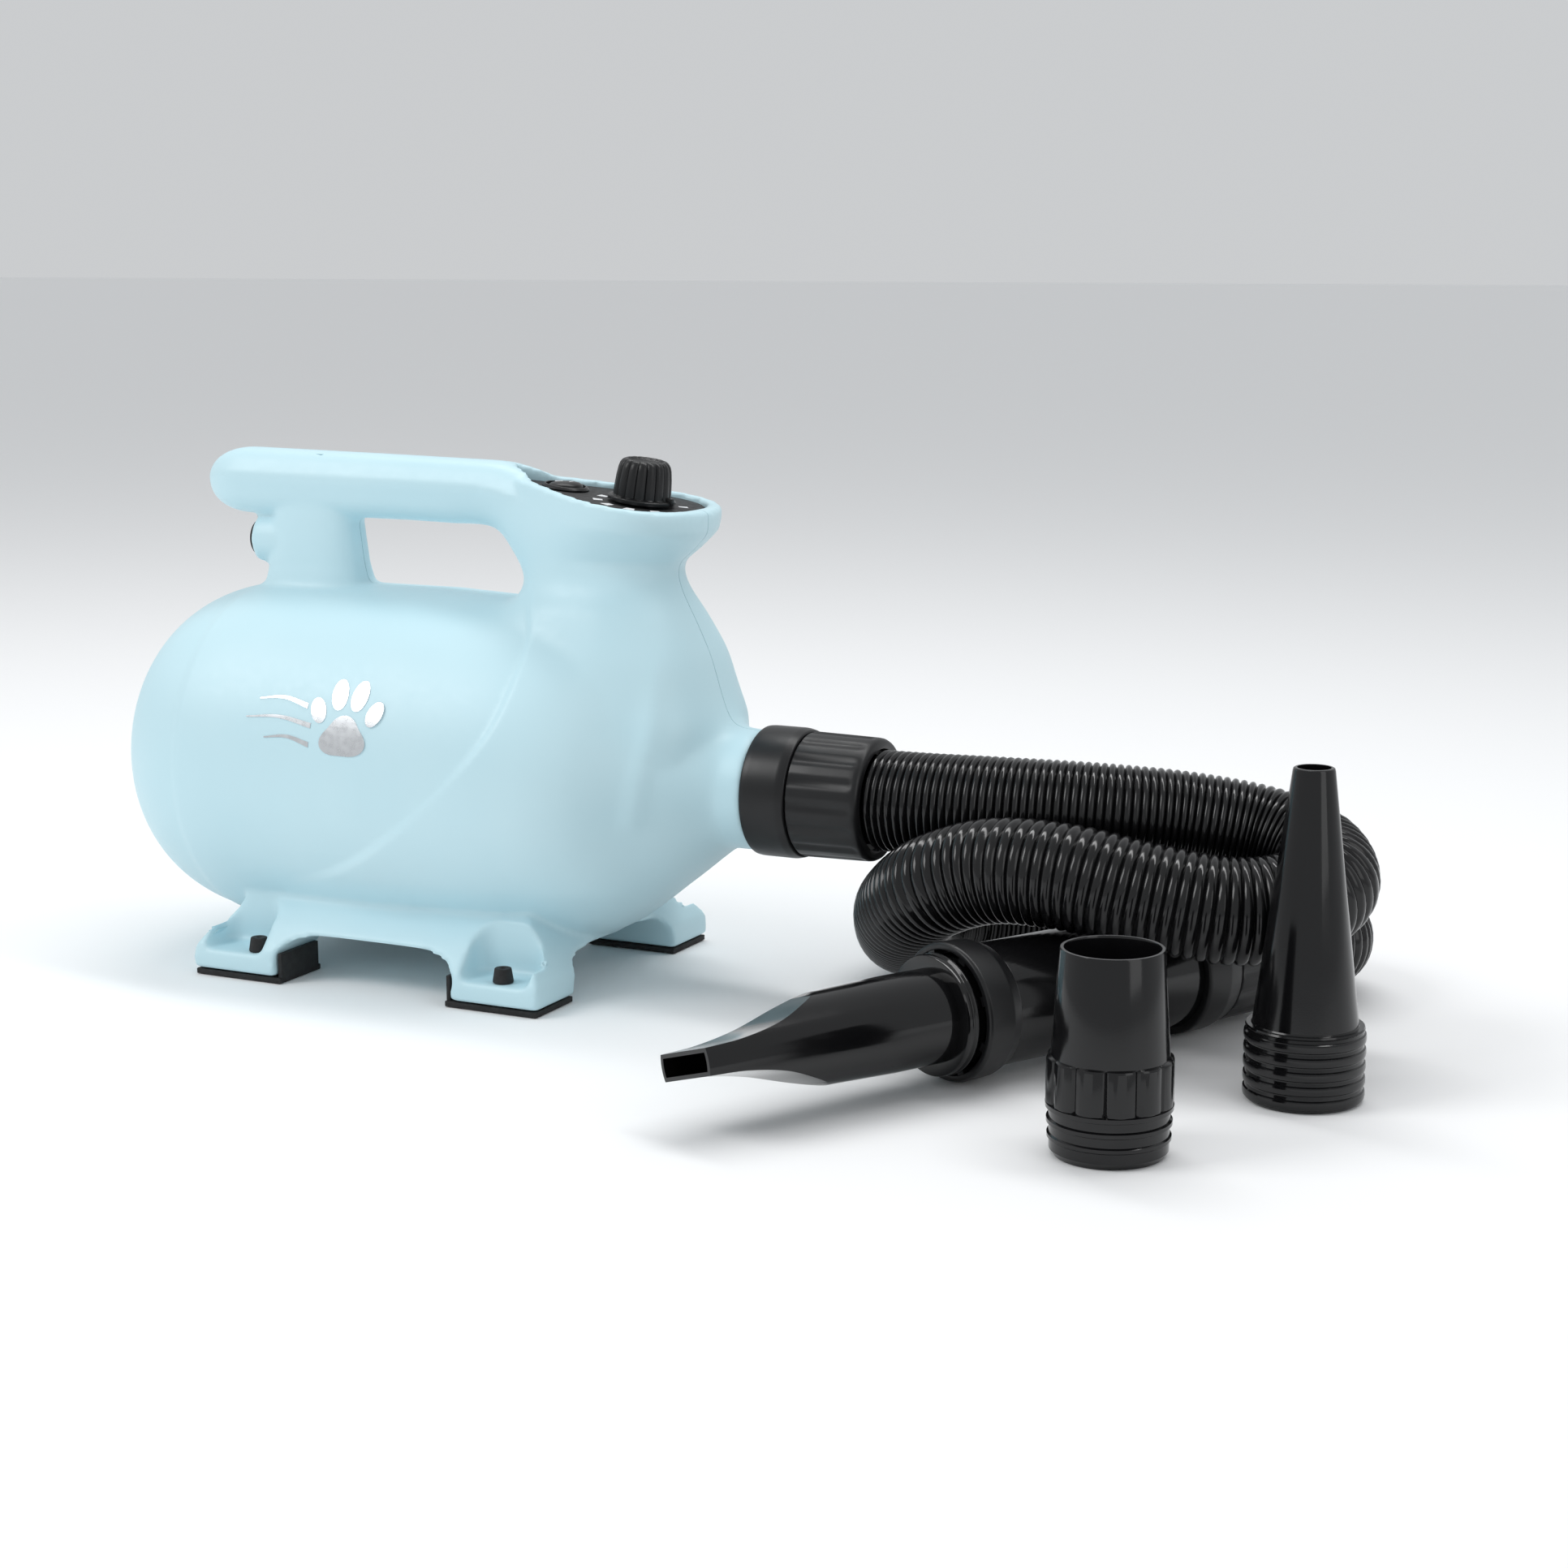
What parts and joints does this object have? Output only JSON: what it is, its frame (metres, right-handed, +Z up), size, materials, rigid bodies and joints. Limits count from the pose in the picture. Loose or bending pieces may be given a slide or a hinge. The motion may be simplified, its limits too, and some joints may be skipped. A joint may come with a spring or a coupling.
{
  "type": "pet dryer",
  "caption": "Pet force dryer: egg-shaped blower on feet with a carry handle, speed knob and rocker switch, a corrugated hose, a wand and slip-on nozzles.",
  "frame": {"origin": "on the floor, under the middle of the box round the dryer, its wand and its loose nozzles, measured without the hose and its cuffs", "axes": "+X the way the air leaves the housing, +Z up, +Y towards the far side of the housing"},
  "size_m": [0.6576, 0.4042, 0.2598],
  "materials": {
    "housing_plastic": "satin light blue moulded plastic with a faint pearl",
    "panel_plastic": "fine-textured matte black",
    "satin_black": "satin black moulded plastic",
    "gloss_black": "glossy black moulded plastic",
    "hose_black": "glossy black corrugated plastic",
    "rubber": "matte black rubber",
    "steel": "zinc-plated and ground steel",
    "alloy": "pressed and cast aluminium",
    "copper": "copper windings and bars",
    "brass": "turned brass",
    "foam": "open-cell dark grey foam",
    "board": "green circuit board"
  },
  "bodies": {
    "housing": {"near_shell": "housing_plastic", "far_shell": "housing_plastic", "cord_gland": "rubber", "control_panel": "panel_plastic", "switch_body": "satin_black", "speed_dimmer": "alloy", "fan_case_rear": "alloy", "fan_case_front": "alloy", "stage_plate": "alloy", "motor_case": "alloy", "field_stack": "copper", "brush_holder_near": "brass", "brush_holder_far": "brass", "bearing_rear": "steel", "bearing_front": "steel", "mount_ring_rear": "rubber", "mount_ring_front": "rubber", "sound_foam": "foam", "speed_board": "board", "hose_cuff": "satin_black", "end_cuff": "satin_black", "hose": "hose_black", "foot_rear_near": "rubber", "foot_front_near": "rubber", "foot_rear_far": "rubber", "foot_front_far": "rubber", "screw_handle": "steel", "screw_post": "steel", "screw_head": "steel", "screw_column": "steel", "screw_front_lower": "steel", "screw_rear_upper": "steel", "screw_rear_lower": "steel", "screw_middle_lower": "steel"},
    "knob": {"speed_knob": "satin_black", "dimmer_shaft": "brass"},
    "rocker": {"rocker_button": "satin_black"},
    "rotor": {"motor_shaft": "steel", "armature": "copper", "commutator": "copper", "impeller_first": "alloy", "impeller_second": "alloy"},
    "intake": {"intake_cover": "housing_plastic", "filter_foam": "foam"},
    "outlet_lock": {"outlet_collar": "satin_black"},
    "wand": {"wand_tube": "gloss_black", "wand_collar_front": "satin_black", "wand_collar_rear": "satin_black"},
    "flat_nozzle": {"flat_nozzle": "gloss_black"},
    "wide_nozzle": {"wide_nozzle": "gloss_black"},
    "cone_nozzle": {"cone_nozzle": "gloss_black"}
  },
  "joints": [
    {"name": "speed_knob_turn", "type": "hinge", "parent": "housing", "child": "knob", "pos_m": [-0.04625, 0.0691, 0.23958], "axis": [-0.1399, 0, -0.9902], "range_deg": [0, 280]},
    {"name": "rocker_tip", "type": "hinge", "parent": "housing", "child": "rocker", "pos_m": [-0.08874, 0.0691, 0.24205], "axis": [0, 1, 0], "range_deg": [0, 14]},
    {"name": "rotor_spin", "type": "hinge", "parent": "housing", "child": "rotor", "pos_m": [-0.15725, 0.0691, 0.102], "axis": [1, 0, 0], "continuous": true},
    {"name": "intake_cover_pull", "type": "slide", "parent": "housing", "child": "intake", "axis": [-1, 0, 0], "range_m": [0, 0.03]},
    {"name": "outlet_twist", "type": "hinge", "parent": "housing", "child": "outlet_lock", "pos_m": [0.03275, 0.0691, 0.102], "axis": [1, 0, 0], "range_deg": [0, 30]},
    {"name": "wand_pull", "type": "slide", "parent": "housing", "child": "wand", "axis": [-0.4695, -0.8829, 0], "range_m": [0, 0.03]},
    {"name": "flat_nozzle_pull", "type": "slide", "parent": "wand", "child": "flat_nozzle", "axis": [-0.4695, -0.8829, 0], "range_m": [0, 0.03]},
    {"name": "wide_nozzle_lift", "type": "slide", "parent": "housing", "child": "wide_nozzle", "axis": [0, 0, 1], "range_m": [0, 0.08]},
    {"name": "cone_nozzle_lift", "type": "slide", "parent": "housing", "child": "cone_nozzle", "axis": [0.3004, -0.6007, 0.7409], "range_m": [0, 0.06]}
  ]
}
